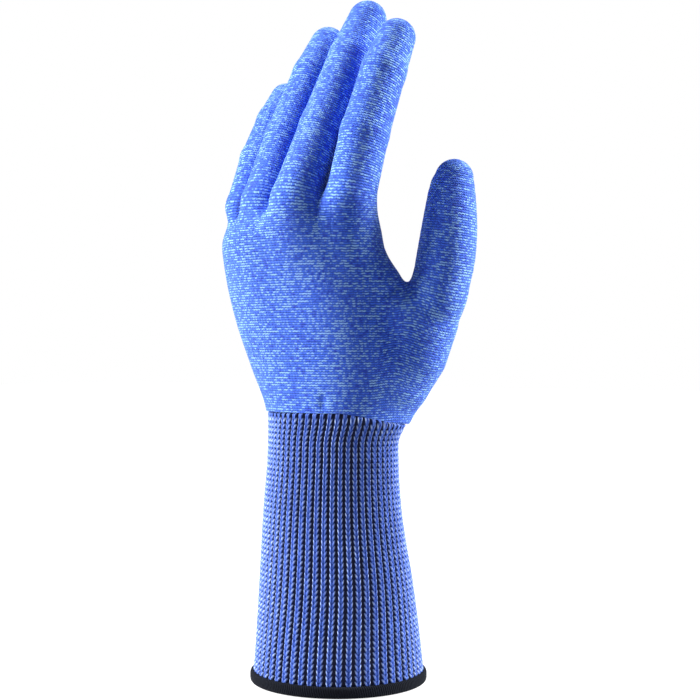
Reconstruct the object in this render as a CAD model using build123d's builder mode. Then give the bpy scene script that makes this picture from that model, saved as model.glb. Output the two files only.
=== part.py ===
from build123d import *
import os
from math import cos, pi, radians, sin, tan

# Cut resistant knitted glove for a left hand, shaped as it is worn, fingers up.
# Frame: origin at the centre of the cuff's mouth, on the hem's lower face.
# +Z runs up the forearm to the fingers, +X is the thumb's side, -Y the back of the hand.

# Knitted fabric
FABRIC = 1.0  # wall of the jersey knit
LINING = 0.8  # wall of the ball inside each bending joint
PLAY = 0.35  # gap between a cup and the ball that it turns on
ANGLE_PLAY = 3.0  # gap left between two walls at the end of a joint's travel, degrees

# Hem: overlocked edge that wraps the cuff's raw end
HEM_HEIGHT = 4.6
HEM_THICKNESS = 3.4
HEM_ROUND = 1.5
HEM_MOUTH_RADIUS = 33.4
HEM_SLOT_DEPTH = 3.1
HEM_SLOT_PLAY = 0.12

# Rib cuff, as half-widths across the wrist (X) and through it (Y) at heights up the forearm
EDGE_RADIUS = 34.7
EDGE_LENGTH = 4.8  # plain edge below the ribs, most of it in the hem
CUFF_FOOT_WIDE = 34.6
CUFF_FOOT_DEEP = 34.6
CUFF_LOW_RISE = 34.0
CUFF_LOW_WIDE = 33.0
CUFF_LOW_DEEP = 28.6
CUFF_HIGH_RISE = 68.0
CUFF_HIGH_WIDE = 30.6
CUFF_HIGH_DEEP = 23.3
CUFF_SWAY = -3.0
RIB_COUNT = 56
RIB_HEIGHT = 0.8
RIB_SHARE = 0.62  # the rib's share of the distance from one rib to the next

# Elastic threads laid into the cuff
ELASTIC_COUNT = 14
ELASTIC_HEIGHT = 0.9
ELASTIC_THICKNESS = 0.5
ELASTIC_PLAY = 0.3
ELASTIC_MARGIN = 6.0

# Wrist: the cuff and the palm meet on a rounded joint that bends about X
WRIST_X = -2.5
WRIST_Y = -1.5
WRIST_Z = 112.0
WRIST_WIDE = 30.0
WRIST_DEEP = 22.0
WRIST_FLEX = 40.0
WRIST_WALL_DROP = 22.0  # the cuff's wall stops this far behind the joint plane, degrees
WRIST_BALL_RISE = 35.0  # and the ball inside reaches this far past it, degrees
WRIST_AXIS_PLAY = 0.4  # half the gap between the cuff and the palm at the bending axis
WRIST_PLAY = 0.4  # gap between the ball and the palm's wall
WRIST_SHOULDER = 5.0  # the ring that carries the ball spans this angle, degrees
WRIST_SHOULDER_DROP = 1.0  # and starts this far below the cuff's wall end, degrees
WRIST_END_PLAY = 2.0  # gap left between the cuff and the palm at the end of travel, degrees
WRIST_BAND_HALF = 25.0  # half the length of the two linings across the wrist

# Palm, as ovals above the wrist: height, centre X, centre Y, half-width, half-depth, arch
PALM_SECTIONS = [
    (WRIST_Z, WRIST_X, WRIST_Y, WRIST_WIDE, WRIST_DEEP, 0.0),
    (131.0, -5.6, -5.0, 34.3, 19.5, 1.0),
    (150.0, -8.4, -10.5, 38.0, 17.0, 4.0),
    (168.0, -11.2, -15.0, 39.8, 15.5, 7.0),
    (194.0, -13.0, -21.5, 40.0, 14.5, 10.0),
]
OVAL_POINTS = 16
PALM_LEAN = 14.0  # the hand leans back from the forearm, degrees
KNUCKLE_ROOF_DROP = 1.2  # gap between the palm's roof and a finger folded over it
SPLIT_HEIGHT = 172.0  # course where the thumb joins the four-finger knit
THENAR_LOW = (21.0, 3.0, 130.0)  # foot of the swelling at the thumb's root
THENAR_LOW_RADIUS = 14.0
THENAR_HIGH_RADIUS = 13.6
THENAR_DROP = 14.6  # from the thumb joint to the top of the swelling
COLLAR_DEPTH = 16.0  # the column under a knuckle reaches this far down into the palm
THUMB_COLLAR_DEPTH = 17.0
COLLAR_OPENING = 3.0  # and its hollow goes this much further

# Bending joints of the fingers: straight-hand limits, degrees
KNUCKLE_BACK = 15.0
KNUCKLE_FLEX = 82.0
MIDDLE_BACK = 3.0
MIDDLE_FLEX = 86.0
TIP_BACK = 4.0
TIP_FLEX = 48.0
NECK = 1.6  # the wall thickens over this height below a shoulder
STUB = 3.0  # length of plain wall under a knuckle's shoulder
SHOULDER = 45.0  # the wall before a joint ends on this cone, degrees behind the joint plane
BALL_ROOT = 6.0  # the ball's inside starts this far behind the shoulder, degrees
CUT_OFFSET = 0.4  # the palm-side cut of a cup starts this far from the digit's axis
BALL_REACH = 28.0  # the ball reaches this far past the joint plane, degrees


def unit(x, y, z):
    """A direction of length one."""
    return Vector(x, y, z).normalized()


class Digit:
    """A finger or thumb: three or two bones that curl in one plane."""

    def __init__(self, name, root, heading, lean, bones, bends, radii, before, limits):
        self.name = name
        self.toward = unit(cos(radians(heading)), sin(radians(heading)), 0)
        side = unit(sin(radians(heading)), -cos(radians(heading)), 0)
        self.rise = side * sin(radians(lean)) + Vector(0, 0, 1) * cos(radians(lean))
        self.hinge = self.rise.cross(self.toward)
        self.bones = bones
        self.bends = bends
        self.radii = radii
        self.before = before
        self.limits = limits
        self.joints = [Vector(*root)]
        for length, bend in zip(bones, bends):
            self.joints.append(self.joints[-1] + self.along(bend) * length)

    def along(self, bend):
        """The direction of a bone that is bent this far from the digit's rise."""
        return self.rise * cos(radians(bend)) + self.toward * sin(radians(bend))

    def section(self, joint, bend):
        """The curl plane at a joint: local X to the palm side, local Y along the bone."""
        return Plane(origin=joint, x_dir=self.along(bend + 90), z_dir=self.hinge * -1)

    def range(self, number):
        """How far a joint turns from its rest pose, back and forward."""
        back, flex = self.limits[number]
        start = self.bends[number] - ([self.before] + list(self.bends))[number]
        return -back - start, flex - start


def finger(name, root, lean, bones, bends, radii):
    """A four-finger digit, which curls straight to the palm side."""
    limits = [(KNUCKLE_BACK, KNUCKLE_FLEX), (MIDDLE_BACK, MIDDLE_FLEX), (TIP_BACK, TIP_FLEX)]
    return Digit(name, root, 90, lean, bones, bends, radii, -PALM_LEAN, limits)


FINGERS = [
    finger("index", (17.5, -17.5, 199.0), 6.5, (27.5, 28.5, 16.5), (12, 19.5, 25.5), (10.2, 10.0, 9.3, 8.0)),
    finger("middle", (-3.5, -26.0, 199.5), 4.5, (34.5, 35.5, 19.5), (27, 27.5, 30), (10.1, 10.0, 9.4, 8.2)),
    finger("ring", (-24.4, -20.0, 199.5), 3.0, (32.0, 33.0, 18.0), (25.5, 29.5, 33.5), (9.8, 9.6, 9.0, 7.9)),
    finger("little", (-43.6, -9.0, 199.5), 0.0, (23.0, 21.0, 14.5), (22, 30.5, 37), (8.9, 8.6, 8.0, 7.1)),
]
THUMB = Digit(
    "thumb",
    (43.0, 9.0, 160.0),
    118,
    8.0,
    (29.0, 18.5),
    (-2, 0),
    (12.4, 11.4, 9.0),
    -14.0,
    [(15.0, 48.0), (6.0, 74.0)],
)
SEGMENTS = ("proximal", "middle", "distal")


def polar(radius, angle, height=0.0):
    """A point at an angle above the joint plane of a joint at this height."""
    return radius * cos(radians(angle)), height + radius * sin(radians(angle))


def trim_angles(digit, number):
    """Where a segment's wall starts: its rim behind the joint plane, and its palm-side cut."""
    back, flex = digit.limits[number]
    rim = SHOULDER - back - ANGLE_PLAY
    cut = 180 - SHOULDER - flex - ANGLE_PLAY
    return rim, cut


def ball_lines(ball, wall_end, collar_end, height):
    """The shoulder and ball at the far end of a wall, from its outer edge to its inner edge."""
    inner = ball - LINING
    middle = (BALL_REACH - SHOULDER) / 2
    Line(wall_end, polar(ball, -SHOULDER, height))
    ThreePointArc(
        polar(ball, -SHOULDER, height), polar(ball, middle, height), polar(ball, BALL_REACH, height)
    )
    Line(polar(ball, BALL_REACH, height), polar(inner, BALL_REACH, height))
    ThreePointArc(
        polar(inner, BALL_REACH, height),
        polar(inner, middle, height),
        polar(inner, -SHOULDER - BALL_ROOT, height),
    )
    Line(polar(inner, -SHOULDER - BALL_ROOT, height), collar_end)


def segment(digit, number):
    """One knitted tube of a digit: cup over the joint behind it, wall, and ball or closed tip."""
    length = digit.bones[number]
    start = digit.radii[number]
    end = digit.radii[number + 1]
    bend = digit.bends[number]
    joint = digit.joints[number]
    rim, cut = trim_angles(digit, number)
    plane = digit.section(joint, bend)
    last = number == len(digit.bones) - 1
    shoulder = length - end * tan(radians(SHOULDER))
    wall_end = (start + (end - start) * shoulder / length, shoulder)
    collar = shoulder - NECK
    collar_end = (start + (end - start) * collar / length - FABRIC, collar)
    inside = start - FABRIC
    with BuildPart() as tube:
        with BuildSketch(plane):
            with BuildLine():
                ThreePointArc(polar(start, -rim), polar(start, -rim / 2), (start, 0))
                if last:
                    Line((start, 0), (end, length))
                    ThreePointArc((end, length), polar(end, 45, length), (0, length + end))
                    Line((0, length + end), (0, length + end - FABRIC))
                    ThreePointArc(
                        (0, length + end - FABRIC),
                        polar(end - FABRIC, 45, length),
                        (end - FABRIC, length),
                    )
                    Line((end - FABRIC, length), (inside, 0))
                else:
                    Line((start, 0), wall_end)
                    ball_lines(end - FABRIC - PLAY, wall_end, collar_end, length)
                    Line(collar_end, (inside, 0))
                ThreePointArc((inside, 0), polar(inside, -rim / 2), polar(inside, -rim))
                Line(polar(inside, -rim), polar(start, -rim))
            make_face()
        revolve(axis=Axis(joint, digit.along(bend)))
        far = 2 * start
        slope = 1 / tan(radians(cut))
        with BuildSketch(plane):
            with BuildLine():
                Polyline(
                    (CUT_OFFSET, CUT_OFFSET * slope),
                    (far, far * slope),
                    (far, -far),
                    (CUT_OFFSET, -far),
                    close=True,
                )
            make_face()
        extrude(amount=2 * start, both=True, mode=Mode.SUBTRACT)
    return tube


def knuckle(digit):
    """The ball that a digit's first segment turns on, and the shoulder that carries it."""
    radius = digit.radii[0]
    joint = digit.joints[0]
    shoulder = -radius * tan(radians(SHOULDER))
    collar_end = (radius - FABRIC, shoulder - NECK)
    with BuildPart() as stub:
        with BuildSketch(digit.section(joint, digit.before)):
            with BuildLine():
                ball_lines(radius - FABRIC - PLAY, (radius, shoulder), collar_end, 0)
                Polyline(
                    collar_end,
                    (radius - FABRIC, shoulder - STUB),
                    (radius, shoulder - STUB),
                    (radius, shoulder),
                )
            make_face()
        revolve(axis=Axis(joint, digit.along(digit.before)))
    return stub.part


def collar(digit, depth, radius, top):
    """A round column under a knuckle, from inside the palm up to a height below the joint."""
    with BuildPart() as column:
        with BuildSketch(Plane(digit.joints[0], z_dir=digit.along(digit.before)).offset(-depth)):
            Circle(radius)
        extrude(amount=depth - top)
    return column.part


def oval(height, x, y, wide, deep, arch, inset):
    """A palm section: an oval whose two sides are bent towards the palm by the arch."""
    points = []
    for step in range(OVAL_POINTS):
        turn = 2 * pi * step / OVAL_POINTS
        across = (wide - inset) * cos(turn)
        through = (deep - inset) * sin(turn) + arch * cos(turn) ** 2
        points.append((x + across, y + through))
    with BuildSketch(Plane.XY.offset(height)) as sketch:
        with BuildLine():
            Spline(*points, periodic=True)
        make_face()
    return sketch.sketch


def above_wrist(height, angle):
    """Everything above two planes that rise at an angle from a line along the wrist's axis."""
    far = 4 * WRIST_WIDE
    rise = far * tan(radians(angle))
    with BuildPart() as prism:
        with BuildSketch(Plane.YZ):
            with BuildLine():
                Polyline(
                    (WRIST_Y, height),
                    (WRIST_Y + far, height + rise),
                    (WRIST_Y + far, height + 2 * far),
                    (WRIST_Y - far, height + 2 * far),
                    (WRIST_Y - far, height + rise),
                    close=True,
                )
            make_face()
        extrude(amount=far, both=True)
    return prism.part


def wrist_band(outer, inner, low, high):
    """Two crescents turned about the wrist's bending axis, one on the palm side and one on the back.

    Each lies between two half-ovals, given as (half-width, depth), and between two angles above
    the joint plane.
    """
    centre = (WRIST_X, WRIST_Y, WRIST_Z)
    with BuildPart() as band:
        for side in (1, -1):
            outward = Vector(0, side * cos(radians(low)), sin(radians(low)))
            plane = Plane(origin=centre, x_dir=(1, 0, 0), z_dir=Vector(1, 0, 0).cross(outward))
            with BuildSketch(plane):
                Ellipse(*outer)
                Ellipse(*inner, mode=Mode.SUBTRACT)
                with Locations((0, outer[1] / 2)):
                    Rectangle(2 * WRIST_BAND_HALF, outer[1], mode=Mode.INTERSECT)
            revolve(axis=Axis(centre, (side, 0, 0)), revolution_arc=high - low)
    return band.part


CUFF_SECTIONS = [
    (EDGE_LENGTH, 0.0, 0.0, CUFF_FOOT_WIDE, CUFF_FOOT_DEEP),
    (EDGE_LENGTH + CUFF_LOW_RISE, CUFF_SWAY / 2, 0.0, CUFF_LOW_WIDE, CUFF_LOW_DEEP),
    (EDGE_LENGTH + CUFF_HIGH_RISE, CUFF_SWAY, WRIST_Y / 2, CUFF_HIGH_WIDE, CUFF_HIGH_DEEP),
    (WRIST_Z, WRIST_X, WRIST_Y, WRIST_WIDE, WRIST_DEEP),
]


def rib_section(height, x, y, wide, deep):
    """A cuff section with a round rib on every wale."""
    pitch = 2 * pi / RIB_COUNT
    half = pitch * RIB_SHARE / 2

    def place(turn, lift):
        return (x + (wide + lift) * cos(turn), y + (deep + lift) * sin(turn))

    with BuildSketch(Plane.XY.offset(height)) as sketch:
        with BuildLine():
            for rib in range(RIB_COUNT):
                turn = rib * pitch
                ThreePointArc(place(turn - half, 0), place(turn, RIB_HEIGHT), place(turn + half, 0))
                Line(place(turn + half, 0), place(turn + pitch - half, 0))
        make_face()
    return sketch.sketch


def plain_section(height, x, y, wide, deep, inset):
    """An elliptical section inside the cuff."""
    with BuildSketch(Plane.XY.offset(height)) as sketch:
        with Locations((x, y)):
            Ellipse(wide - inset, deep - inset)
    return sketch.sketch


def cuff_size(height):
    """Centre and half-widths of the cuff at a height between two of its sections."""
    for low, high in zip(CUFF_SECTIONS, CUFF_SECTIONS[1:]):
        if low[0] <= height <= high[0]:
            share = (height - low[0]) / (high[0] - low[0])
            return [a + (b - a) * share for a, b in zip(low[1:], high[1:])]
    return CUFF_SECTIONS[0][1:]


os.makedirs("parts", exist_ok=True)

# Hem: a ring with a slot in its top that holds the cuff's raw edge
with BuildPart() as hem:
    with BuildSketch(Plane.XZ):
        with BuildLine():
            outside = HEM_MOUTH_RADIUS + HEM_THICKNESS
            Polyline(
                (outside - HEM_ROUND, HEM_HEIGHT),
                (HEM_MOUTH_RADIUS, HEM_HEIGHT),
                (HEM_MOUTH_RADIUS, 0),
                (outside - HEM_ROUND, 0),
            )
            RadiusArc((outside - HEM_ROUND, 0), (outside, HEM_ROUND), -HEM_ROUND)
            Line((outside, HEM_ROUND), (outside, HEM_HEIGHT - HEM_ROUND))
            RadiusArc((outside, HEM_HEIGHT - HEM_ROUND), (outside - HEM_ROUND, HEM_HEIGHT), -HEM_ROUND)
        make_face()
    revolve(axis=Axis.Z)
    with BuildSketch(Plane.XY.offset(HEM_HEIGHT)):
        Circle(EDGE_RADIUS + HEM_SLOT_PLAY)
        Circle(EDGE_RADIUS - FABRIC - HEM_SLOT_PLAY, mode=Mode.SUBTRACT)
    extrude(amount=-HEM_SLOT_DEPTH, mode=Mode.SUBTRACT)
hem.part.label = "hem_overlock"
export_step(hem.part, "parts/hem_overlock.step")

# Rib cuff: a fluted tube from the hem to the wrist, with the wrist's ball inside its top
with BuildPart() as cuff:
    loft(sections=[rib_section(*size) for size in CUFF_SECTIONS], ruled=True)
    with BuildSketch(Plane.XY.offset(HEM_HEIGHT - HEM_SLOT_DEPTH)):
        Circle(EDGE_RADIUS)
    extrude(amount=EDGE_LENGTH - HEM_HEIGHT + HEM_SLOT_DEPTH)
    loft(sections=[plain_section(*size, FABRIC) for size in CUFF_SECTIONS], ruled=True, mode=Mode.SUBTRACT)
    with BuildSketch(Plane.XY):
        Circle(EDGE_RADIUS - FABRIC)
    extrude(amount=EDGE_LENGTH, mode=Mode.SUBTRACT)
    add(above_wrist(WRIST_Z - WRIST_AXIS_PLAY, -WRIST_WALL_DROP), mode=Mode.SUBTRACT)

    # the ball that the palm turns on, and the ring that carries it on the cuff's wall
    ring_top = -WRIST_WALL_DROP - WRIST_SHOULDER_DROP
    ring_foot = ring_top - WRIST_SHOULDER
    inset = FABRIC + WRIST_PLAY
    outer = (WRIST_WIDE - inset, WRIST_DEEP - inset)
    inner = (outer[0] - LINING, outer[1] - LINING)
    middle = (outer[0] - LINING / 2, outer[1] - LINING / 2)
    wall = cuff_size(WRIST_Z + WRIST_DEEP * sin(radians(ring_foot)))
    ring = (wall[2] - FABRIC / 2, (wall[3] - FABRIC / 2) / cos(radians(ring_top - WRIST_SHOULDER / 2)))
    add(wrist_band(ring, middle, ring_foot + WRIST_SHOULDER / 10, ring_top))
    add(wrist_band(outer, inner, ring_foot, WRIST_BALL_RISE))
cuff.part.label = "rib_cuff"
export_step(cuff.part, "parts/rib_cuff.step")

# Elastic threads: flat rings against the inside of the cuff
with BuildPart() as elastic:
    low = EDGE_LENGTH + ELASTIC_MARGIN
    step = (CUFF_HIGH_RISE + EDGE_LENGTH + ELASTIC_MARGIN - low) / (ELASTIC_COUNT - 1)
    for number in range(ELASTIC_COUNT):
        height = low + number * step
        x, y, wide, deep = cuff_size(height + ELASTIC_HEIGHT)
        outer = FABRIC + ELASTIC_PLAY
        with BuildSketch(Plane.XY.offset(height)):
            with Locations((x, y)):
                Ellipse(wide - outer, deep - outer)
                Ellipse(
                    wide - outer - ELASTIC_THICKNESS, deep - outer - ELASTIC_THICKNESS, mode=Mode.SUBTRACT
                )
        extrude(amount=ELASTIC_HEIGHT)
elastic.part.label = "cuff_elastic"
export_step(elastic.part, "parts/cuff_elastic.step")

# Palm: an arched shell with a thenar swelling, four knuckle balls on its roof and one for the thumb
back_down = Vector(0, -sin(radians(PALM_LEAN)), cos(radians(PALM_LEAN)))
roof_level = min(f.joints[0].dot(back_down) - f.radii[0] for f in FINGERS) - KNUCKLE_ROOF_DROP
thenar_low = Vector(*THENAR_LOW)
thenar_high = THUMB.joints[0] - THUMB.along(THUMB.before) * THENAR_DROP
roof = Plane(origin=back_down * roof_level, z_dir=back_down)


def palm_body(inset):
    """The palm's volume, drawn in by a wall."""
    with BuildPart() as body:
        loft(sections=[oval(*size, inset) for size in PALM_SECTIONS])
        with BuildSketch(Plane(thenar_low, z_dir=thenar_high - thenar_low)):
            Circle(THENAR_LOW_RADIUS - inset)
        with BuildSketch(Plane(thenar_high, z_dir=THUMB.along(THUMB.before)).offset(-inset)):
            Circle(THENAR_HIGH_RADIUS - inset)
        loft()
        split(bisect_by=roof.offset(-inset), keep=Keep.BOTTOM)
    return body.part


KNUCKLES = [(digit, COLLAR_DEPTH) for digit in FINGERS] + [(THUMB, THUMB_COLLAR_DEPTH)]
with BuildPart() as palm:
    add(palm_body(0))
    for digit, depth in KNUCKLES:
        radius = digit.radii[0]
        add(collar(digit, depth, radius, radius * tan(radians(SHOULDER)) + NECK))
    add(palm_body(FABRIC), mode=Mode.SUBTRACT)
    for digit, depth in KNUCKLES:
        add(collar(digit, depth + COLLAR_OPENING, digit.radii[0] - FABRIC, 0), mode=Mode.SUBTRACT)
    for digit, depth in KNUCKLES:
        add(knuckle(digit))
    travel = WRIST_FLEX - WRIST_WALL_DROP + WRIST_END_PLAY
    add(above_wrist(WRIST_Z + WRIST_AXIS_PLAY, travel), mode=Mode.INTERSECT)
for name, keep in (("palm_four_finger", Keep.TOP), ("palm_thumb", Keep.BOTTOM)):
    with BuildPart() as zone:
        add(palm.part)
        split(bisect_by=Plane.XY.offset(SPLIT_HEIGHT), keep=keep)
    zone.part.label = name
    export_step(zone.part, "parts/" + name + ".step")

# Fingers and thumb: one tube of knit for each bone inside it
for digit in FINGERS + [THUMB]:
    names = SEGMENTS if len(digit.bones) == len(SEGMENTS) else (SEGMENTS[0], SEGMENTS[-1])
    for number, name in enumerate(names):
        tube = segment(digit, number)
        tube.part.label = digit.name + "_" + name
        export_step(tube.part, "parts/" + tube.part.label + ".step")
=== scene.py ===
import math
import bpy
import numpy as np
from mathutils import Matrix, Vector


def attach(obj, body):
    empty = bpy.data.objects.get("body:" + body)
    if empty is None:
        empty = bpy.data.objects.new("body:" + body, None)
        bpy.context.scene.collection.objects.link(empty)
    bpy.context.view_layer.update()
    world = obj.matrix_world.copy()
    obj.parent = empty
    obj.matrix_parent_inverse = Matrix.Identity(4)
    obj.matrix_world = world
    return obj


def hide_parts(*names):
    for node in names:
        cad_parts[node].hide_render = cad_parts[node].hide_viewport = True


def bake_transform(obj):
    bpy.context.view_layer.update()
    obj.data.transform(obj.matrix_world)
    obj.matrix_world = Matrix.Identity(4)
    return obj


# Knitted glove for a left hand, standing on its cuff with the fingers up. Lengths are in
# millimetres in the shared frame, and are turned into metres when a mesh is made.
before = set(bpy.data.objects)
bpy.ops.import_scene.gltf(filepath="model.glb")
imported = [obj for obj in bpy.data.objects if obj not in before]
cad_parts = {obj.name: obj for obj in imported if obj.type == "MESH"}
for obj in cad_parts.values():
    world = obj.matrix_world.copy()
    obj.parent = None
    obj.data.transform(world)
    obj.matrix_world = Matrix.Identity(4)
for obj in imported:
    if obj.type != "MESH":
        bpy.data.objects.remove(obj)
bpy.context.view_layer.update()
MM = 0.001


def unit(v):
    v = np.array(v, float)
    return v / np.linalg.norm(v)


def smooth(t):
    """0 below 0, 1 above 1, smooth between."""
    t = np.clip(t, 0, 1)
    return t * t * (3 - 2 * t)


# ---------------------------------------------------------------- camera
VIEW = math.radians(35)
ACROSS = np.array([math.cos(VIEW), math.sin(VIEW), 0])
TOWARDS = np.array([math.sin(VIEW), -math.cos(VIEW), 0])
CAMERA_AWAY, CAMERA_ASIDE, CAMERA_HEIGHT = 600, 4.2, 138
camera_data = bpy.data.cameras.new("camera")
camera_data.sensor_width = 36
camera_data.lens = 73.47
camera_data.clip_start = 0.01
camera_data.clip_end = 20
camera = bpy.data.objects.new("camera", camera_data)
bpy.context.scene.collection.objects.link(camera)
camera.location = Vector((TOWARDS * CAMERA_AWAY + ACROSS * CAMERA_ASIDE
                          + (0, 0, CAMERA_HEIGHT)) * MM)
camera.rotation_euler = (math.radians(90), 0, VIEW)
bpy.context.scene.camera = camera

# ---------------------------------------------------------------- skeleton, as in the CAD source
PALM_LEAN = -14


class Digit:
    """A finger or the thumb, as a chain of bones from its root up.

    heading is the way it curls and lean how far it leans aside. bends gives each bone's angle
    from upright. radii are those at the joints and the tip, and wales is the number of stitch
    columns round it. ways[0] is the way of the palm below the root."""

    def __init__(self, name, root, heading, lean, bones, bends, radii, wales):
        h, t = math.radians(heading), math.radians(lean)
        self.name = name
        self.bones = bones
        self.radii = radii
        self.wales = wales
        self.toward = np.array([math.cos(h), math.sin(h), 0])
        side = np.array([math.sin(h), -math.cos(h), 0])
        self.rise = side * math.sin(t) + np.array([0, 0, math.cos(t)])
        self.hinge = np.cross(self.rise, self.toward)
        self.ways = [self.along(b) for b in (PALM_LEAN,) + bends]
        self.joints = [np.array(root, float)]
        for length, way in zip(bones, self.ways[1:]):
            self.joints.append(self.joints[-1] + way * length)

    def along(self, bend):
        b = math.radians(bend)
        return self.rise * math.cos(b) + self.toward * math.sin(b)


DIGITS = [
    Digit("index", (17.5, -17.5, 199), 90, 6.5, (27.5, 28.5, 16), (12, 19.5, 25.5),
          (10.2, 10.0, 9.3, 8.0), 42),
    Digit("middle", (-3.5, -26, 199.5), 90, 4.5, (34.5, 35.5, 20.6), (27, 27.5, 30),
          (10.1, 10.0, 9.4, 8.2), 42),
    Digit("ring", (-24.4, -20, 199.5), 90, 3, (32, 33, 18), (25.5, 29.5, 33.5),
          (9.8, 9.6, 9.0, 7.9), 40),
    Digit("little", (-43.2, -9, 199.5), 90, 0, (23, 21, 14.5), (22, 30.5, 37),
          (8.8, 8.2, 7.6, 6.9), 36),
    Digit("thumb", (43, 9, 160), 118, 8, (29, 18.5), (-2, 0), (11.9, 11.3, 9.0), 50),
]
THUMB = DIGITS[4]

# ---------------------------------------------------------------- surface of the hand
# sections of the palm: height, centre x, centre y, half-width, half-depth, arch, tilt
PALM = np.array([
    (96, -2.9, -1.2, 29.2, 22.2, 0, 0),
    (112, -2.7, -1.5, 29.4, 22, 0, 0),
    (131, -5.6, -5, 34.2, 19.5, 1, 0),
    (150, -8.7, -10.5, 38.0, 17, 4, 0),
    (168, -12.9, -15, 39.4, 15.5, 8, -1),
    (185, -15.9, -20, 39.6, 14, 13, -3),
    (194, -16.8, -22.3, 39.4, 12.6, 16, -4.6),
    (212, -14.6, -26, 40, 10.5, 20, -6),
])
# power of the palm's section: 2 is an oval, more is squarer
SQUARE = 2.3
# height of the web between the fingers, across the hand, and how steeply the palm ends there
WEB = np.array([(-60, 186), (-46, 189), (-34, 191.5), (-14, 193), (7, 195.5), (22, 192), (40, 182)])
WEB_STEEP = 0.95
# rods from ball to ball, with a radius at each: the thumb side of the palm, and the thumb's web
THENAR = [((17.9, 4.9, 115.9), 11.2), ((25.8, 6.4, 125.3), 12.9), ((32.0, 8.2, 135.9), 13.3),
          ((36.8, 9.4, 149.8), 13.2), ((42.5, 8.9, 160.5), 11.1)]
THUMB_WEB = [((13.8, -14, 189), 7.5), ((18.6, -11, 174), 7.5), ((25.5, -6, 165), 7.5),
             ((31, -1, 154), 8)]
# the thumb from its root to its tip: height, centre x, centre y and radius
THUMB_ROD = np.array([
    (160.5, 42.5, 8.9, 11.2),
    (172, 45.4, 9.4, 11.9),
    (187, 47.4, 10, 11.3),
    (197, 48.0, 10.5, 10.2),
    (203.5, 48.3, 10.9, 9.2),
    (207.8, 49.0, 11.2, 7.9),
])
THUMB_BALLS = 13
# a finger's bone inside the palm: its length, and its lower radius as a share of the root's
HAND_BONE, HAND_BONE_TAPER = 26, 0.62
# widths over which neighbouring forms flow into each other
PALM_END_FLOW, WEB_FLOW, FINGER_FLOW = 8, 9, 9
BONE_FLOW, THUMB_BONE_FLOW, THENAR_FLOW = 1.5, 0.3, 4
# the thumb's own: its least, how much more it is below, from which height and over how much
THUMB_FLOW, THUMB_FLOW_MORE, THUMB_FLOW_FROM, THUMB_FLOW_OVER = 4, 10, 166, 26
# short creases in the knit: both ends, depth and half-width
CREASES = [((34.2, -7.2, 164.5), (31.7, -12.1, 160.0), 1.4, 1.4),
           ((7.6, -22.5, 118.6), (7.5, -22.4, 115.2), 0.8, 1.5)]


def spline(table, z):
    """Values of a table at heights z, along smooth curves through its rows."""
    x, y = table[:, 0], table[:, 1:]
    slope = np.gradient(y, x, axis=0)
    i = np.clip(np.searchsorted(x, z) - 1, 0, len(x) - 2)
    h = (x[i + 1] - x[i])
    t = np.clip((z - x[i]) / h, 0, 1)[:, None]
    h = h[:, None]
    return ((2 * t**3 - 3 * t**2 + 1) * y[i] + (t**3 - 2 * t**2 + t) * h * slope[i]
            + (3 * t**2 - 2 * t**3) * y[i + 1] + (t**3 - t**2) * h * slope[i + 1])


def smin(a, b, k):
    """The lesser of two distances, rounded off where they differ by less than k."""
    h = np.clip(0.5 + 0.5 * (b - a) / k, 0, 1)
    return b + (a - b) * h - k * h * (1 - h)


def cone(p, a, b, ra, rb):
    """Distance to a rod whose radius goes from ra at a to rb at b."""
    a, b = np.array(a, float), np.array(b, float)
    ab = b - a
    t = np.clip((p - a) @ ab / (ab @ ab), 0, 1)
    return np.linalg.norm(p - a - t[:, None] * ab, axis=1) - (ra + (rb - ra) * t)


def rods(p, chain, k=0.0):
    """Distance to rods laid end to end."""
    out = None
    for (a, ra), (b, rb) in zip(chain, chain[1:]):
        d = cone(p, a, b, ra, rb)
        out = d if out is None else (smin(out, d, k) if k else np.minimum(out, d))
    return out


def palm_place(p):
    """Position of points in the palm's own section: across, through and the section's sizes."""
    xc, yc, w, d, arch, tilt = spline(PALM, p[:, 2]).T
    c = (p[:, 0] - xc) / w
    bent = np.clip(c, -1, 1)
    s = (p[:, 1] - yc - arch * np.abs(bent) ** 3 - tilt * bent) / d
    return c, s, w, d


def palm_distance(p):
    c, s, w, d = palm_place(p)
    c, s = np.abs(c) + 1e-6, np.abs(s) + 1e-6
    rho = (c ** SQUARE + s ** SQUARE) ** (1 / SQUARE)
    steep = np.hypot(c ** (SQUARE - 1) / w, s ** (SQUARE - 1) / d) * rho ** (1 - SQUARE)
    side = (rho - 1) / steep
    top = p[:, 2] - np.interp(p[:, 0], WEB[:, 0], WEB[:, 1])
    body = -smin(-side, -top * WEB_STEEP, PALM_END_FLOW)
    return smin(body, rods(p, THUMB_WEB), WEB_FLOW)


def digit_distance(digit, p):
    if digit is THUMB:
        z = np.linspace(THUMB_ROD[0, 0], THUMB_ROD[-1, 0], THUMB_BALLS)
        x, y, radius = spline(THUMB_ROD, z).T
        return rods(p, list(zip(np.stack([x, y, z], 1), radius)), THUMB_BONE_FLOW)
    chain = [(digit.joints[0] - digit.ways[0] * HAND_BONE, digit.radii[0] * HAND_BONE_TAPER)]
    chain += list(zip(digit.joints, digit.radii))
    return rods(p, chain, BONE_FLOW)


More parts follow.
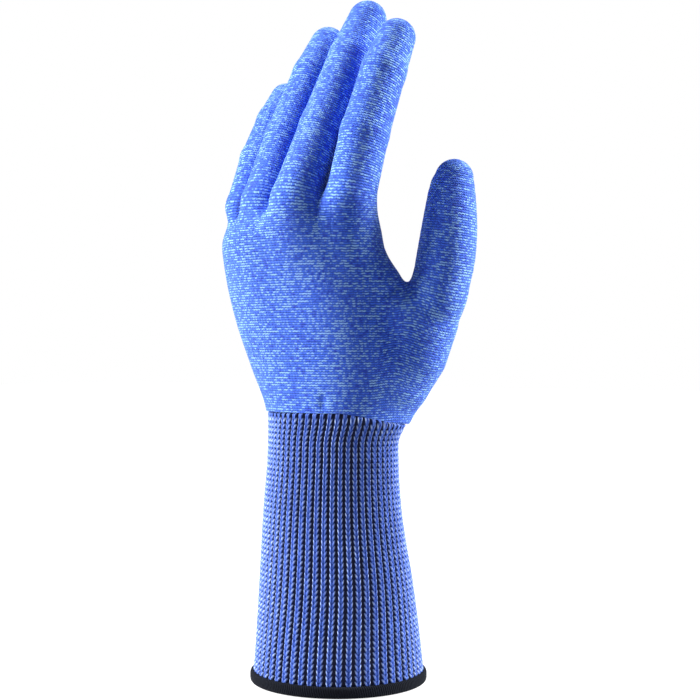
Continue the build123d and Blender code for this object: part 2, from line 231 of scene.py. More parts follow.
def field(p):
    """Signed distance to the hand, and the separate distances of palm, digits and thumb side."""
    palm = palm_distance(p)
    digits = [digit_distance(d, p) for d in DIGITS]
    fingers = np.minimum.reduce(digits[:4])
    thumb = smin(digits[4], rods(p, THENAR), THENAR_FLOW)
    whole = smin(palm, fingers, FINGER_FLOW)
    k = THUMB_FLOW + THUMB_FLOW_MORE * smooth((THUMB_FLOW_FROM - p[:, 2]) / THUMB_FLOW_OVER)
    whole = smin(whole, thumb, k)
    for low, high, depth, width in CREASES:
        whole = whole + depth * np.exp(-(cone(p, low, high, 0, 0) / width) ** 2)
    return whole, palm, digits, thumb


def gradient(p, step=0.4):
    """Way out of the hand, as unit vectors."""
    g = np.zeros_like(p)
    for axis in range(3):
        e = np.zeros(3)
        e[axis] = step
        g[:, axis] = field(p + e)[0] - field(p - e)[0]
    return g / (np.linalg.norm(g, axis=1)[:, None] + 1e-9)


def surface_net(low, high, cell, parts=24):
    """Quads on the zero level of the field, one vertex in each cell that it crosses.

    The field is worked out in parts, to save memory."""
    axes = [np.arange(lo, hi + cell, cell) for lo, hi in zip(low, high)]
    shape = tuple(len(a) for a in axes)
    grid = np.stack(np.meshgrid(*axes, indexing="ij"), -1).reshape(-1, 3)
    value = np.concatenate([field(part)[0] for part in np.array_split(grid, parts)])
    value = value.reshape(shape)
    inside = value < 0
    corners = [(i, j, k) for i in (0, 1) for j in (0, 1) for k in (0, 1)]
    cells = tuple(n - 1 for n in shape)

    def corner(array, c):
        return array[c[0]:c[0] + cells[0], c[1]:c[1] + cells[1], c[2]:c[2] + cells[2]]

    count = sum(corner(inside, c).astype(int) for c in corners)
    crossed = (count > 0) & (count < 8)
    where = np.argwhere(crossed)
    number = -np.ones(cells, int)
    number[crossed] = np.arange(len(where))
    # a cell's vertex is the mean of the points where its edges cross the surface
    total, hits = np.zeros((len(where), 3)), np.zeros(len(where))
    for a in corners:
        for axis in range(3):
            if a[axis] == 0:
                b = list(a)
                b[axis] = 1
                va, vb = corner(value, a)[crossed], corner(value, tuple(b))[crossed]
                hit = (va < 0) != (vb < 0)
                t = np.where(hit, va / np.where(hit, va - vb, 1), 0)
                point = np.array(a, float) + np.outer(t, np.eye(3)[axis])
                total += point * hit[:, None]
                hits += hit
    verts = (where + total / hits[:, None]) * cell + np.array([a[0] for a in axes])
    # an edge of the grid that crosses the surface gives a quad between the four cells round it
    faces = []
    for axis in range(3):
        u, v = (axis + 1) % 3, (axis + 2) % 3
        first = [slice(1, n - 1) for n in shape]
        first[axis] = slice(0, shape[axis] - 1)
        second = list(first)
        second[axis] = slice(1, shape[axis])
        a, b = inside[tuple(first)], inside[tuple(second)]
        for flip, mask in ((False, a & ~b), (True, ~a & b)):
            at = np.argwhere(mask) + [f.start for f in first]
            ring = []
            for du, dv in ((-1, -1), (0, -1), (0, 0), (-1, 0)):
                q = at.copy()
                q[:, u] += du
                q[:, v] += dv
                ring.append(number[q[:, 0], q[:, 1], q[:, 2]])
            ring = np.stack(ring[::-1] if flip else ring, 1)
            faces.append(ring[(ring >= 0).all(1)])
    return verts, np.concatenate(faces)


# ---------------------------------------------------------------- knit coordinates
# stitch columns round the palm, and courses in a millimetre
PALM_WALES = 120
COURSE = 1.0
# the palm's wales are counted from this angle on, past its edge on the little finger's side,
# in radians
COUNT_FROM = 0.3
# length of knit that bends at a joint, inside a digit and at its root
BEND_LENGTH = (14, 20)
# way of the knit below the thumb's root
THUMB_GRAIN = unit((0.42, 0, 0.9))
# the palm's wales become a digit's: from how far below a finger's root and over what length,
# and over what difference between the distances to the palm and to the thumb
FINGER_FROM, FINGER_OVER, THUMB_OVER = 13, 18, 14
# how far below a digit's root the palm's wales are read
ROOT_DROP = 4
# the wales end in a closed tip where it is thinner than this share of the tip's radius
TIP_WALES_END = 0.7


def arc_share(t, aspect):
    """Share of an oval's outline passed at angle t, for ovals of a given aspect."""
    turn = 360
    aspects = np.linspace(1.2, 3.2, 9)
    angles = np.linspace(-math.pi, 3 * math.pi, 2 * turn + 1)
    tables = []
    for a in aspects:
        speed = np.sqrt((a * np.sin(angles)) ** 2 + np.cos(angles) ** 2)
        total = np.concatenate([[0], np.cumsum((speed[1:] + speed[:-1]) / 2)])
        tables.append(total / total[turn])
    tables = np.array(tables)
    # the last row and column are just out of reach, so that each has a next one
    x = np.clip((t + math.pi) / (4 * math.pi) * 2 * turn, 0, 2 * turn - 0.001)
    y = np.clip((aspect - aspects[0]) / (aspects[1] - aspects[0]), 0, len(aspects) - 1 - 0.001)
    i, j = x.astype(int), y.astype(int)
    fx, fy = x - i, y - j
    return ((tables[j, i] * (1 - fx) + tables[j, i + 1] * fx) * (1 - fy)
            + (tables[j + 1, i] * (1 - fx) + tables[j + 1, i + 1] * fx) * fy)


def turned(v, axis, angle):
    """A vector turned about an axis by each of an array's angles."""
    c, w = np.cos(angle)[:, None], np.sin(angle)[:, None]
    return v * c + np.cross(axis, v) * w + axis * (axis @ v) * (1 - c)


def digit_place(digit, p):
    """Course along a digit, and the two parts of its direction from the digit's axis.

    The courses fan out round each joint, as they do in a knitted tube that is bent."""
    ways = list(digit.ways)
    if digit is THUMB:
        ways[0] = THUMB_GRAIN
    back, side = np.cross(ways[1], digit.hinge), -digit.hinge
    along, a, b = np.zeros((3, len(p)))
    passed = 0.0
    for i, (joint, before, after) in enumerate(zip(digit.joints, ways, ways[1:])):
        axis = unit(np.cross(before, after))
        bend = math.acos(np.clip(before @ after, -1, 1))
        radius = BEND_LENGTH[i == 0] / bend
        normal = unit(before - after)
        centre = joint - normal * radius / math.cos(bend / 2)
        q = p - centre
        middle = unit(before + after)
        angle = np.clip(np.arctan2(q @ middle, q @ normal), -bend / 2, bend / 2)
        way = turned(middle, axis, angle)
        out = turned(normal, axis, angle)
        # half of the arc round the joint, and of the sharp corner that it stands for
        arc, corner = radius * (bend / 2), radius * math.tan(bend / 2)
        if i:
            back = turned(back, axis, np.array([bend]))[0]
            passed += digit.bones[i - 1] + arc - corner
        spot = centre + out * radius
        here = [passed + radius * angle + ((p - spot) * way).sum(1),
                ((p - spot) * turned(back, axis, angle - bend / 2)).sum(1),
                ((p - spot) * turned(side, axis, angle - bend / 2)).sum(1)]
        # each joint takes over from the one below at the middle of the bone between them
        mine = np.ones(len(p), bool) if i == 0 else (p - joint) @ before > -digit.bones[i - 1] / 2
        along, a, b = (np.where(mine, new, old) for new, old in zip(here, (along, a, b)))
        passed += arc - corner
    # over the round tip the courses keep their width
    from_axis = np.hypot(a, b) + 1e-6
    tip, past = digit.radii[-1], along - passed - digit.bones[-1]
    along = np.where(past > 0, along - past + tip * np.arctan2(past, from_axis), along)
    return along, a, b


def unwrap(angle, reference):
    """The same angle, within half a turn of the reference."""
    return reference + (angle - reference + math.pi) % (2 * math.pi) - math.pi


def mean_angle(angle):
    """Mean of the angles at a face's corners."""
    return np.arctan2(np.sin(angle).mean(1), np.cos(angle).mean(1))[:, None]


def knit_uv(verts, faces):
    """Wale and course numbers at each corner of each face."""
    _, palm, digits, thumb = field(verts)
    c, s, w, d = palm_place(verts)
    t = np.arctan2(s, c)[faces]
    reference = mean_angle(t)
    reference = np.where(reference < COUNT_FROM - math.pi, reference + 2 * math.pi, reference)
    t = unwrap(t, reference)
    u = arc_share(t, (w / d)[faces]) * PALM_WALES
    v = (verts[:, 2] * COURSE)[faces]
    nearest = np.argmin(np.array(digits), 0)
    owner = nearest[faces[:, 0]]
    for number, digit in enumerate(DIGITS):
        mine = owner == number
        along, a, b = digit_place(digit, verts)
        if digit is THUMB:
            share = smooth(0.5 + (palm - thumb) / THUMB_OVER)[faces[mine]]
        else:
            share = smooth((along + FINGER_FROM) / FINGER_OVER)[faces[mine]]
        angle = np.arctan2(b, a)[faces[mine]]
        middle = mean_angle(angle)
        angle = unwrap(angle, middle)
        # the palm's wale numbers at the back and at the front of the digit's root
        place = digit.joints[0] - digit.ways[0] * ROOT_DROP
        to_back = np.cross(digit.ways[0], digit.hinge) * digit.radii[0]
        offsets = []
        for point in (place + to_back, place - to_back):
            pc, ps, pw, pd = palm_place(point[None])
            offsets.append(arc_share(np.arctan2(ps, pc), pw / pd)[0] * PALM_WALES)
        du = digit.wales * angle / (2 * math.pi) + offsets[0]
        # the wales end in plain rows where the tip closes
        thin = (np.hypot(a, b)[faces[mine]].mean(1) / digit.radii[-1])[:, None]
        du = np.where(thin > TIP_WALES_END, du, 0.5)
        # on the palm's side the two counts are set level by a whole number of wales
        wrapped = np.where(middle < -math.pi / 2, 1, 0)
        palmar = np.abs(middle) > math.pi / 2
        shift = np.round(offsets[1] - offsets[0] - digit.wales / 2) + wrapped * digit.wales
        pu = u[mine] - np.where(palmar, shift, 0)
        dv = along + digit.joints[0][2] * COURSE
        u[mine] = pu * (1 - share) + du * share
        v[mine] = v[mine] * (1 - share) + dv[faces[mine]] * share
    return np.stack([u, v], -1)


# ---------------------------------------------------------------- meshes
def mesh_object(name, verts, faces, uv, material, normals=None):
    """An object from points in millimetres, with uv at its faces' corners and vertex normals.

    The map "knit" holds wale and course numbers, and "place" the x and y at rest."""
    used, index = np.unique(faces, return_inverse=True)
    index = index.reshape(faces.shape)
    starts = np.arange(0, index.size, index.shape[1], dtype=np.int32)
    mesh = bpy.data.meshes.new(name)
    mesh.vertices.add(len(used))
    mesh.vertices.foreach_set("co", (verts[used] * MM).astype(np.float32).ravel())
    mesh.loops.add(index.size)
    mesh.loops.foreach_set("vertex_index", index.astype(np.int32).ravel())
    mesh.polygons.add(len(index))
    mesh.polygons.foreach_set("loop_start", starts)
    mesh.update(calc_edges=True)
    mesh.validate()
    mesh.polygons.foreach_set("use_smooth", np.ones(len(mesh.polygons), bool))
    for map_name, values in (("knit", uv), ("place", verts[faces][:, :, :2])):
        layer = mesh.uv_layers.new(name=map_name)
        layer.data.foreach_set("uv", values.astype(np.float32).ravel())
    if normals is not None:
        mesh.normals_split_custom_set_from_vertices(normals[used].tolist())
    obj = bpy.data.objects.new(name, mesh)
    bpy.context.scene.collection.objects.link(obj)
    mesh.materials.append(material)
    return obj


# ---------------------------------------------------------------- materials
class Nodes:
    """Short forms for building a material's nodes."""

    def __init__(self, name):
        self.material = bpy.data.materials.new(name)
        self.material.use_nodes = True
        self.tree = self.material.node_tree
        self.shader = self.tree.nodes["Principled BSDF"]
        self.output = self.tree.nodes["Material Output"]

    def put(self, socket, value):
        if isinstance(value, bpy.types.NodeSocket):
            self.tree.links.new(value, socket)
        else:
            socket.default_value = value

    def make(self, kind, out=0, **values):
        """A new node's output: in0, in1 and so on are its inputs, and the rest its settings."""
        node = self.tree.nodes.new(kind)
        for key, value in values.items():
            if key.startswith("in"):
                self.put(node.inputs[int(key[2:])], value)
            else:
                setattr(node, key, value)
        return node.outputs[out]

    def math(self, operation, a, b=0.0):
        return self.make("ShaderNodeMath", operation=operation, in0=a, in1=b)

    def step(self, value, low, high):
        """0 below low, 1 above high, smooth between."""
        node = self.tree.nodes.new("ShaderNodeMapRange")
        node.interpolation_type = "SMOOTHSTEP"
        self.put(node.inputs[0], value)
        node.inputs[1].default_value = low
        node.inputs[2].default_value = high
        return node.outputs[0]

    def mix(self, share, a, b):
        node = self.tree.nodes.new("ShaderNodeMix")
        node.data_type = "RGBA"
        self.put(node.inputs[0], share)
        self.put(node.inputs[6], a)
        self.put(node.inputs[7], b)
        return node.outputs[2]

    def join(self, x, y, z=0.0):
        return self.make("ShaderNodeCombineXYZ", in0=x, in1=y, in2=z)

    def random(self, x, y, z):
        return self.make("ShaderNodeTexWhiteNoise", noise_dimensions="3D", in0=self.join(x, y, z))

    def noise(self, vector, scale, detail):
        node = self.tree.nodes.new("ShaderNodeTexNoise")
        self.put(node.inputs["Vector"], vector)
        node.inputs["Scale"].default_value = scale
        node.inputs["Detail"].default_value = detail
        node.inputs["Roughness"].default_value = 0.5
        return node.outputs[0]

    def uv(self, name="knit"):
        node = self.tree.nodes.new("ShaderNodeUVMap")
        node.uv_map = name
        split = self.tree.nodes.new("ShaderNodeSeparateXYZ")
        self.tree.links.new(node.outputs[0], split.inputs[0])
        return split.outputs[0], split.outputs[1]

    def bump(self, height, distance):
        node = self.tree.nodes.new("ShaderNodeBump")
        node.inputs["Strength"].default_value = 1.0
        node.inputs["Distance"].default_value = distance
        self.put(node.inputs["Height"], height)
        return node.outputs[0]

    def finish(self, color, normal, roughness, sheen, tint, specular=0.3):
        self.put(self.shader.inputs["Base Color"], color)
        self.put(self.shader.inputs["Normal"], normal)
        self.shader.inputs["Roughness"].default_value = roughness
        self.shader.inputs["Sheen Weight"].default_value = sheen
        self.shader.inputs["Sheen Roughness"].default_value = 0.5
        self.shader.inputs["Sheen Tint"].default_value = tint
        self.shader.inputs["Specular IOR Level"].default_value = specular
        return self.material


def jersey_material():
    """Fine blue jersey: rows of V stitches, flecked with short pale dashes along the courses, with
    painted shade in the grooves between rows and between wales.
    """
    yarn, dark_yarn = (0.042, 0.15, 0.86, 1), (0.014, 0.054, 0.60, 1)
    pale_yarn = (0.29, 0.55, 0.95, 1)
    painted_row_shade, painted_wale_shade = (0.004, 0.034, 0.36, 1), (0.010, 0.05, 0.42, 1)
    n = Nodes("jersey_knit")
    u, v = n.uv()
    x, y = n.uv("place")
    across = n.math("ABSOLUTE", n.math("SUBTRACT", n.math("FRACT", u), 0.5))
    phase = n.math("SUBTRACT", v, n.math("MULTIPLY", across, 0.4))
    row = n.math("FLOOR", phase)
    rise = n.math("SINE", n.math("MULTIPLY", n.math("FRACT", phase), math.pi))
    groove = n.math("SUBTRACT", 1.0, n.step(rise, 0.15, 0.95))
    column = n.step(across, 0.36, 0.5)
    # the yarn's own colour changes along each course, from dark to pale blue
    layer = n.math("MULTIPLY", row, 5.37)
    dash = n.noise(n.join(x, y, layer), 0.62, 1.0)
    long_dash = n.noise(n.join(y, x, n.math("ADD", layer, 40.0)), 0.24, 1.0)
    patch = n.noise(n.join(x, y, n.math("MULTIPLY", v, 0.8)), 0.07, 2.0)
    level = n.math("ADD", n.math("ADD", dash, n.math("MULTIPLY", long_dash, 0.45)),
                   n.math("MULTIPLY", patch, 0.3))
    pale = n.step(level, 0.83, 1.03)
    dark = n.math("SUBTRACT", 1.0, n.step(level, 0.62, 0.82))
    fleck = n.math("MULTIPLY", pale, n.math("MULTIPLY", n.step(rise, 0.3, 0.9), 0.95))
    color = n.mix(fleck, n.mix(dark, yarn, dark_yarn), pale_yarn)
    # painted shade in the grooves between the rows, and a weaker painted shade at the wales' edges
    # between the columns
    color = n.mix(n.math("MULTIPLY", groove, 0.8), color, painted_row_shade)
    color = n.mix(n.math("MULTIPLY", column, 0.35), color, painted_wale_shade)
    fuzz = n.noise(n.join(n.math("MULTIPLY", x, 1.5), n.math("MULTIPLY", y, 1.5), v), 2.0, 2.0)
    stitch = n.math("MULTIPLY", rise, n.math("SUBTRACT", 1.0, n.math("MULTIPLY", column, 0.5)))
    height = n.math("ADD", stitch, n.math("MULTIPLY", fuzz, 0.3))
    return n.finish(color, n.bump(height, 0.0003), 0.75, 0.4, (0.5, 0.8, 1, 1))


# ribs round the cuff, height of a stitch, and how many stitches its legs rise over a rib's width
RIBS = 56
STITCH = 2.2
RIB_SLOPE = 2.4


def rib_material():
    """Ribs of V stitches, with a painted highlight at the legs' outer tips, and painted shade in
    the gaps between stitches and in the channels between the ribs.
    """
    low_yarn, high_yarn = (0.045, 0.12, 0.58, 1), (0.12, 0.24, 0.82, 1)
    painted_tip_highlight = (0.56, 0.68, 0.94, 1)
    painted_gap_shade, painted_channel_shade = (0.006, 0.012, 0.14, 1), (0.003, 0.005, 0.035, 1)
    n = Nodes("rib_knit")
    u, v = n.uv()
    across = n.math("ABSOLUTE", n.math("SUBTRACT", n.math("FRACT", u), 0.5))
    phase = n.math("SUBTRACT", v, n.math("MULTIPLY", across, RIB_SLOPE))
    body = n.math("SINE", n.math("MULTIPLY", n.math("FRACT", phase), math.pi))
    # each leg of each stitch has its own tone
    stitch = n.math("FLOOR", phase)
    half_rib = n.math("FLOOR", n.math("MULTIPLY", u, 2.0))
    blue = n.mix(n.random(half_rib, stitch, 2.2), low_yarn, high_yarn)
    highlight_strength = n.math("ADD", n.math("MULTIPLY", n.random(half_rib, stitch, 7.7), 0.6), 0.45)
    # painted highlight on the outer flank of each stitch's legs, of random strength from leg to leg
    tip = n.math("MULTIPLY", n.step(across, 0.12, 0.25), n.step(body, 0.6, 1.0))
    color = n.mix(n.math("MULTIPLY", tip, highlight_strength), blue, painted_tip_highlight)
    # painted shade in the gaps between stitches, deeper towards the rib's edge
    gap = n.math("SUBTRACT", 1.0, n.step(body, 0.0, 0.6))
    deep = n.math("ADD", n.math("MULTIPLY", across, 1.6), 0.45)
    color = n.mix(n.math("MULTIPLY", gap, deep), color, painted_gap_shade)
    # painted shade in the channels between the ribs, beside the legs
    thin = n.math("MULTIPLY", n.math("SUBTRACT", 1.0, body), 0.15)
    leg = n.math("SUBTRACT", 1.0, n.step(n.math("ADD", across, thin), 0.30, 0.38))
    color = n.mix(n.math("SUBTRACT", 1.0, leg), color, painted_channel_shade)
    fibre = n.noise(n.join(n.math("MULTIPLY", u, 6.0), n.math("MULTIPLY", phase, 2.0)), 2.0, 2.0)
    return n.finish(color, n.bump(fibre, 0.00015), 0.75, 0.2, (0.6, 0.7, 1, 1))


def thread_material(name, low, high, sheen):
    """Twisted thread laid side by side."""
    n = Nodes(name)
    u, v = n.uv()
    turn = n.math("ADD", u, n.math("MULTIPLY", v, 0.35))
    twist = n.math("SINE", n.math("MULTIPLY", turn, 2 * math.pi))
    grain = n.noise(n.join(u, v), 3.0, 3.0)
    share = n.math("ADD", n.math("MULTIPLY", twist, 0.25), n.math("MULTIPLY", grain, 0.7))
    bump = n.bump(n.math("ADD", twist, grain), 0.0001)
    return n.finish(n.mix(share, low, high), bump, 0.9, sheen, (0.5, 0.6, 0.8, 1), 0.1)


JERSEY = jersey_material()
RIB = rib_material()
HEM = thread_material("overlock_thread", (0.0015, 0.002, 0.004, 1), (0.008, 0.010, 0.017, 1), 0.03)
ELASTIC = thread_material("elastic_thread", (0.02, 0.03, 0.09, 1), (0.06, 0.08, 0.2, 1), 0.1)

# ---------------------------------------------------------------- shapes of the cuff
# sections of the cuff: height, centre x, centre y, half-width, half-depth
CUFF = np.array([
    (0.0, -0.8, 0, 35.4, 35.0),
    (4.8, -0.8, 0.0, 35.0, 34.7),
    (38.8, -2.1, 0.0, 33.4, 28.8),
    (72.8, -3.7, -0.75, 30.6, 23.3),
    (92.0, -3.1, -1.2, 29.2, 22.0),
    (102.0, -2.6, -1.4, 29.2, 21.8),
    (108.0, -1.6, -1.5, 30.3, 21.8),
    (120.0, -1.2, -1.6, 30.8, 21.9),
])
# the seam to the jersey: its height, and how far it falls towards the thumb, from where across
# the hand and over what width
SEAM, SEAM_FALL, SEAM_FROM, SEAM_OVER = 112.3, 5.0, -2, 34
# height at which the cuff's outline is set against the seam, near its real height
SEAM_READ = 110.0
# the thumb side swells out below the seam: how far, at what angle and how narrowly, and from
# which height and over how much
SWELL, SWELL_AT, SWELL_NARROW, SWELL_FROM, SWELL_OVER = 1.3, 0.35, 8, 99, 9
# height of the ribs' lower end
CUFF_FOOT = 3.2
# columns of faces in a rib, and rows of the outside for each row of the inside
RIB_COLUMNS = 10
INNER_ROWS = 4
# the ribs run on under the jersey's edge: by how much, and the share of the cuff that is
# stretched for it. Their relief fades over a height at the seam, and their end sinks in
TUCK, TUCK_SHARE = 2.5, 0.03
FADE, SINK = 1.2, 0.5
# place of the knit's two sides out from the cuff's section, and how far its stitches stand out
OUTSIDE, OUTSIDE_RELIEF = -0.75, 1.55
INSIDE, INSIDE_RELIEF = -1.75, 0.45
# a leg of a stitch, in widths of a rib: its place from the rib's middle, its half-width at the
# thickest, and how much less that is at the thinnest
LEG_AT, LEG_HALF, LEG_THINNER = 0.16, 0.19, 0.05
# power of a leg's bulge along its length, below 1 for a fuller one, and its height between bulges
LEG_FULL, LEG_LOW = 0.7, 0.6


def seam(p):
    """Height of the line where the ribs meet the jersey."""
    return SEAM - SEAM_FALL * smooth((p @ ACROSS - SEAM_FROM) / SEAM_OVER)


def rib_relief(u, v):
    """How far the stitches stand out, from 0 to 1, at rib number u and stitch number v."""
    across = np.abs(u % 1 - 0.5)
    body = np.sin((v - across * RIB_SLOPE) % 1 * math.pi) ** LEG_FULL
    half = LEG_HALF - LEG_THINNER * (1 - body)
    leg = np.sqrt(np.clip(1 - ((across - LEG_AT) / half) ** 2, 0, 1))
    return leg * (LEG_LOW + (1 - LEG_LOW) * body)


def cuff_piece(name, low, high, rows):
    """A ring of the cuff between two shares of its height, from the hem to the seam."""
    columns = RIBS * RIB_COLUMNS
    around = np.arange(columns) / columns
    shares = np.linspace(low, high, rows + 1)
    share, turn = np.meshgrid(shares, around, indexing="ij")
    turn, share = turn.ravel(), share.ravel()
    angle = turn * 2 * math.pi
    swell = SWELL * (0.5 + 0.5 * np.cos(angle - SWELL_AT)) ** SWELL_NARROW

    def place(z, lift):
        xc, yc, w, d = spline(CUFF, z).T
        lift = lift + swell * smooth((z - SWELL_FROM) / SWELL_OVER)
        return np.stack([xc + (w + lift) * np.cos(angle), yc + (d + lift) * np.sin(angle), z], 1)

    def corner_uv(corners, rib):
        """Rib and stitch numbers at the faces' corners; the last column's go on counting."""
        uv = np.stack([rib, v], 1)[corners]
        uv[:, 1:3, 0] += np.where((corners % columns == columns - 1)[:, :1], RIBS, 0)
        return uv

    top = seam(place(np.full(len(angle), SEAM_READ), 0))
    z = CUFF_FOOT + share * (top - CUFF_FOOT)
    u, v = turn * RIBS, (z - CUFF_FOOT) / STITCH
    relief = rib_relief(u, v)
    z = z + TUCK * smooth((share - (1 - TUCK_SHARE)) / TUCK_SHARE)
    fade = smooth((top + FADE / 2 - z) / FADE)
    verts = place(z, OUTSIDE + OUTSIDE_RELIEF * relief * fade - SINK * (1 - fade))
    grid = np.arange(len(angle)).reshape(rows + 1, columns)
    right = np.roll(grid, -1, 1)
    faces = np.stack([grid[:-1], right[:-1], right[1:], grid[1:]], -1).reshape(-1, 4)
    # the inside of the knit, joined to the outside along the hem
    inside = place(z, INSIDE - INSIDE_RELIEF * rib_relief(u + 0.5, v))
    coarse = grid[::INNER_ROWS]
    beside = np.roll(coarse, -1, 1)
    inner = np.stack([coarse[1:], beside[1:], beside[:-1], coarse[:-1]], -1).reshape(-1, 4)
    rim = np.stack([grid[0], grid[0] + len(verts), right[0] + len(verts), right[0]], -1)
    if low:
        rim = rim[:0]
    uv = [corner_uv(faces, u), corner_uv(inner, u + 0.5), np.stack([u, v], 1)[rim % len(verts)]]
    faces = np.concatenate([faces, inner + len(verts), rim])
    return mesh_object(name, np.concatenate([verts, inside]), faces, np.concatenate(uv), RIB)


def lathe(name, ring, points, uv_scale, material, relief=None, columns=480):
    """A closed ring: a section (out, up) swept round an oval (x, y, wide, deep)."""
    x, y, wide, deep = ring
    rows = len(points)
    out, up = np.array(points, float).T
    around = np.arange(columns) / columns * 2 * math.pi
    angle, out = np.meshgrid(around, out, indexing="ij")
    if relief is not None:
        out = out + relief(angle)
    verts = np.stack([x + (wide + out) * np.cos(angle), y + (deep + out) * np.sin(angle),
                      np.broadcast_to(up, out.shape)], -1).reshape(-1, 3)
    grid = np.arange(columns * rows).reshape(columns, rows)
    nx, ny = np.roll(grid, -1, 0), np.roll(grid, -1, 1)
    both = np.roll(nx, -1, 1)
    faces = np.stack([grid, nx, both, ny], -1).reshape(-1, 4)
    i, j = np.meshgrid(np.arange(columns), np.arange(rows), indexing="ij")
    i, j = i.ravel(), j.ravel()
    u = np.stack([i, i + 1, i + 1, i], 1) / columns * uv_scale[0]
    v = np.stack([j, j, j + 1, j + 1], 1) / rows * uv_scale[1]
    return mesh_object(name, verts, faces, np.stack([u, v], -1), material)


# ---------------------------------------------------------------- hand
# box round the jersey, and the size of the cells that its surface is found in
HAND_BOX = ((-62, -62, 100), (62, 30, 296))
CELL = 1.1
# steps that bring its vertices onto the surface, and the share of the way that each goes
SETTLE_STEPS, SETTLE_SHARE = 2, 0.9
# height of the cut between wrist and palm, and of those at the fingers' roots
WRIST_TOP = 132
CUTS = {"index": 199.5, "middle": 199.5, "ring": 196.5, "little": 194.5}
# the cut at the thumb's root: how far up the thumb, and its least height
THUMB_CUT, THUMB_CUT_FLOOR = 6.5, 150
# half the length that bends at a joint, below a long bone and below a short one
BEND_HALF, SHORT_BEND_HALF, LONG_BONE = 9, 7.5, 20
# a digit's lowest piece starts to turn this far above its cut, and has turned this far below
# the next joint's bend. That bend's own piece starts this far below it
TURN_FROM, TURN_BELOW, CUT_BELOW = 0.5, 2.5, 1


def bend_half(digit, bone):
    """Half the length that bends at the joint below a bone."""
    return BEND_HALF if digit.bones[bone] > LONG_BONE or digit is THUMB else SHORT_BEND_HALF


verts, faces = surface_net(*HAND_BOX, CELL)
for _ in range(SETTLE_STEPS):
    verts = verts - gradient(verts) * field(verts)[0][:, None] * SETTLE_SHARE
normals = gradient(verts)
uvs = knit_uv(verts, faces)
centre = verts[faces].mean(1)
nearest = np.argmin(np.array(field(centre)[2]), 0)
# the jersey ends on the seam: faces below it go, and its lowest row is drawn onto it
over = verts[:, 2] > seam(verts)
keep = over[faces].any(1)
edge = ~over & np.isin(np.arange(len(verts)), faces[keep])
verts[edge, 2] = seam(verts[edge])

# the piece that each face belongs to, and for each piece of a digit its lower and upper body
# and where it starts and ends to turn from one to the other
part_of = np.full(len(faces), "palm", dtype=object)
part_of[centre[:, 2] < WRIST_TOP] = "wrist"
plan = {}
for number, digit in enumerate(DIGITS):
    root, way = digit.joints[0], digit.ways[1]
    if digit is THUMB:
        cut = THUMB_CUT
        mine = ((nearest == number) & ((centre - root) @ way > cut)
                & (centre[:, 2] > THUMB_CUT_FLOOR))
    else:
        cut = CUTS[digit.name] - root[2]
        mine = (nearest == number) & (centre[:, 2] > CUTS[digit.name])
    bones = ("proximal", "middle", "distal") if len(digit.bones) == 3 else ("proximal", "distal")
    bodies = ["palm"] + [f"{digit.name}_{bone}" for bone in bones]
    key = f"{digit.name}_base"
    part_of[mine] = key
    axis = unit(digit.ways[1] + digit.ways[2])
    plan[key] = (bodies[0], bodies[1], root + way * (cut + TURN_FROM),
                 digit.joints[1] - axis * (bend_half(digit, 1) + TURN_BELOW))
    for i in range(1, len(digit.bones)):
        key = f"{digit.name}_bend{i}"
        joint, half = digit.joints[i], bend_half(digit, i)
        axis = unit(digit.ways[i] + digit.ways[i + 1])
        part_of[mine & ((centre - joint) @ axis > -half - CUT_BELOW)] = key
        plan[key] = (bodies[i], bodies[i + 1], joint - axis * half, joint + axis * half)


def hand_piece(name, key):
    """The part of the jersey that the key stands for, as an object."""
    chosen = (part_of == key) & keep
    return mesh_object(name, verts, faces[chosen], uvs[chosen], JERSEY, normals)


palm = hand_piece("palm_jersey", "palm")
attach(palm, "palm")
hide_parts("palm_thumb", "palm_four_finger")
wrist = hand_piece("wrist_jersey", "wrist")
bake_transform(wrist)
for key, (lower, upper, start, end) in plan.items():
    piece = hand_piece(key + "_jersey", key)
    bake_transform(piece)
    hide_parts(upper)

# ---------------------------------------------------------------- cuff
# each piece's lower and upper share of the cuff's height, and its rows
spans = [(0.0, 0.40, 120), (0.40, 0.80, 120), (0.80, 1.0, 60)]
for number, (low, high, rows) in enumerate(spans):
    piece = cuff_piece(f"rib_cuff_{number + 1}", low, high, rows)
    if number < 2:
        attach(piece, "cuff")
    else:
        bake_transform(piece)
    if number == 0:
        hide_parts("rib_cuff")


def section(count, out, up, half_wide, half_high, power=1):
    """Points of a closed section round its middle (out, up): an oval, or squarer below power 1."""
    points = []
    for k in range(count):
        a = k / count * 2 * math.pi
        c, s = math.cos(a), math.sin(a)
        points.append((out + half_wide * math.copysign(abs(c) ** power, c),
                       up + half_high * math.copysign(abs(s) ** power, s)))
    return points


# the roll of thread round the mouth: its oval, its threads and how far they stand out
HEM_OVAL = (-0.8, 0, 34.9, 34.7)
HEM_THREADS, HEM_RELIEF = 240, 0.06
hem_section = section(28, out=0.45, up=2.3, half_wide=1.75, half_high=2.3, power=0.6)
hem = lathe("hem_roll", HEM_OVAL, hem_section, (HEM_THREADS, 8), HEM,
            lambda angle: HEM_RELIEF * np.sin(angle * HEM_THREADS))
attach(hem, "cuff")
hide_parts("hem_overlock")

# flat elastic rings inside the cuff: their number, the lowest one's height and their spacing
ELASTIC_RINGS, ELASTIC_FIRST, ELASTIC_STEP = 14, 10.8, 5.23
rings = []
for k in range(ELASTIC_RINGS):
    z = ELASTIC_FIRST + k * ELASTIC_STEP
    oval = spline(CUFF, np.array([z]))[0]
    flat = section(8, out=INSIDE, up=z, half_wide=0.25, half_high=0.45)
    rings.append(lathe(f"ring_{k}", oval, flat, (300, 1), ELASTIC, columns=240))
bpy.ops.object.select_all(action="DESELECT")
for ring in rings:
    ring.select_set(True)
bpy.context.view_layer.objects.active = rings[0]
bpy.ops.object.join()
rings[0].name = "elastic_threads"
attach(rings[0], "cuff")
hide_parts("cuff_elastic")


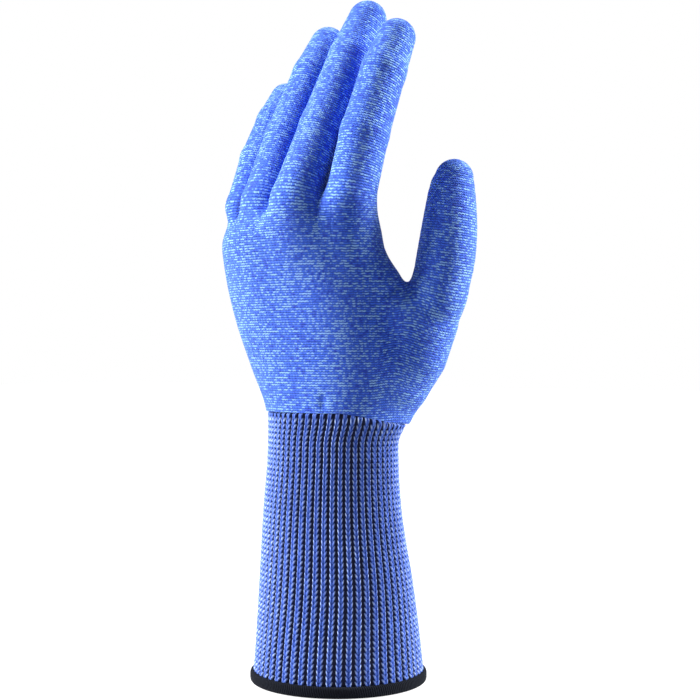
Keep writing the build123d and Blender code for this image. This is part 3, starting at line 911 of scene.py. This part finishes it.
# ---------------------------------------------------------------- studio
def seen(tree):
    """1 for the rays that show the background: from the camera, off gloss and through glass."""
    path = tree.nodes.new("ShaderNodeLightPath")
    out = path.outputs["Is Camera Ray"]
    for ray in ("Is Glossy Ray", "Is Transmission Ray"):
        most = tree.nodes.new("ShaderNodeMath")
        most.operation = "MAXIMUM"
        tree.links.new(out, most.inputs[0])
        tree.links.new(path.outputs[ray], most.inputs[1])
        out = most.outputs[0]
    return out


def stage_material(name, color, near, far):
    """A matt surface with a glow of its own, which only adds to what shows the background.

    The glow goes from near, under the object, to far, where the lamps' light has faded."""
    n = Nodes(name)
    n.shader.inputs["Base Color"].default_value = color
    n.shader.inputs["Roughness"].default_value = 0.9
    place = n.make("ShaderNodeTexCoord", out=3)
    distance = n.make("ShaderNodeVectorMath", out=1, operation="LENGTH", in0=place)
    away = n.step(distance, 0.25, 1.4)
    glow = n.math("ADD", near, n.math("MULTIPLY", away, far - near))
    light = n.make("ShaderNodeEmission", in0=(1, 1, 1, 1), in1=glow)
    off = n.make("ShaderNodeEmission", in0=(0, 0, 0, 1), in1=0.0)
    mixed = n.make("ShaderNodeMixShader", in0=seen(n.tree), in1=off, in2=light)
    total = n.make("ShaderNodeAddShader", in0=n.shader.outputs[0], in1=mixed)
    n.tree.links.new(total, n.output.inputs[0])
    return n.material


# the floor lies just below the object, so that no two faces share a plane
bpy.ops.mesh.primitive_plane_add(size=8, location=(0, 0, -0.0002))
floor = bpy.context.object
floor.name = "floor"
floor.data.materials.append(stage_material("floor", (0.35, 0.35, 0.35, 1), 0.86, 1.0))

# the world is white to look at, and lights the object with a dim pale blue
world = bpy.data.worlds.new("world")
bpy.context.scene.world = world
world.use_nodes = True
tree = world.node_tree
tree.nodes.clear()
mixer = tree.nodes.new("ShaderNodeMixShader")
tree.links.new(seen(tree), mixer.inputs[0])
for socket, color, strength in ((2, (1, 1, 1, 1), 1.0), (1, (0.35, 0.53, 1, 1), 0.12)):
    background = tree.nodes.new("ShaderNodeBackground")
    background.inputs[0].default_value = color
    background.inputs[1].default_value = strength
    tree.links.new(background.outputs[0], mixer.inputs[socket])
out = tree.nodes.new("ShaderNodeOutputWorld")
tree.links.new(mixer.outputs[0], out.inputs[0])


def lamp(name, across, towards, up, size, power):
    """A rectangular lamp, placed as the camera sees the glove, and aimed at its middle.

    Its size is in metres and its power in watts."""
    data = bpy.data.lights.new(name, "AREA")
    data.shape = "RECTANGLE"
    data.size, data.size_y = size
    data.energy = power
    obj = bpy.data.objects.new(name, data)
    bpy.context.scene.collection.objects.link(obj)
    obj.location = Vector((ACROSS * across + TOWARDS * towards + (0, 0, up)) * MM)
    aim = Vector((0, 0, 0.15)) - obj.location
    obj.rotation_euler = aim.to_track_quat("-Z", "Y").to_euler()


lamp("key_left", -610, 30, 538, (0.25, 0.5), 14.0)
lamp("side_right", 605, -30, 430, (0.2, 0.5), 10.5)
lamp("fill_front", -250, 850, 350, (0.6, 0.6), 0.25)
bpy.context.scene.view_settings.view_transform = "Standard"
